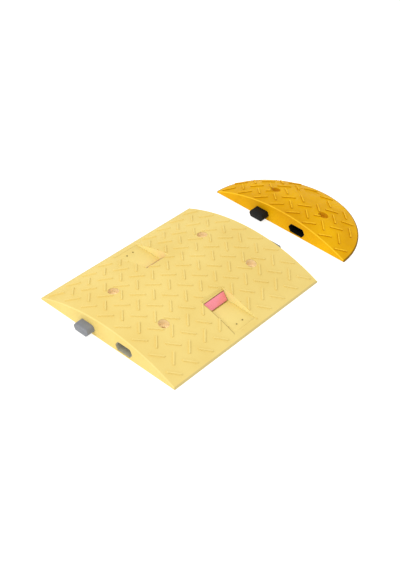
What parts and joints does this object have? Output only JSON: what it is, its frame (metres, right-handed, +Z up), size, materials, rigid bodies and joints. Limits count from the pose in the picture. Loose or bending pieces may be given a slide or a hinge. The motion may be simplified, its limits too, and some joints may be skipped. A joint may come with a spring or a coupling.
{
  "type": "modular road hump",
  "caption": "Cambered rubber road hump module with chevron tread, reflectors and anchor holes, and a half-round end cap that plugs onto its end.",
  "frame": {"origin": "middle of the module's underside, on the road surface", "axes": "+X along the line of modules, from the module to the end cap; +Y across the hump, the way traffic crosses it; +Z up"},
  "size_m": [0.829, 0.4, 0.0501],
  "materials": {
    "pale_yellow_rubber": "matt moulded rubber, pale yellow",
    "deep_yellow_rubber": "matt moulded rubber, deep yellow",
    "grey_rubber": "matt moulded rubber, grey",
    "black_rubber": "matt moulded rubber, black",
    "black_plastic": "matt moulded backing",
    "red_reflector": "clear face over fine prisms, pink-red",
    "screw_steel": "dull pan-head screw"
  },
  "bodies": {
    "module": {"module_body": "pale_yellow_rubber", "module_near_tongue": "grey_rubber", "module_far_tongue": "grey_rubber", "module_near_socket_liner": "grey_rubber", "module_far_socket_liner": "grey_rubber", "right_reflector_carrier": "pale_yellow_rubber", "right_reflector_backing": "black_plastic", "right_reflector_lens": "red_reflector", "right_carrier_screw_1": "screw_steel", "right_carrier_screw_2": "screw_steel", "left_reflector_carrier": "pale_yellow_rubber", "left_reflector_backing": "black_plastic", "left_reflector_lens": "red_reflector", "left_carrier_screw_1": "screw_steel", "left_carrier_screw_2": "screw_steel"},
    "end_cap": {"cap_body": "deep_yellow_rubber", "cap_tongue": "black_rubber", "cap_socket_liner": "black_rubber"}
  },
  "joints": [
    {"name": "end_cap_slide", "type": "slide", "parent": "module", "child": "end_cap", "axis": [-1, 0, 0], "range_m": [0, 0.1077]}
  ]
}
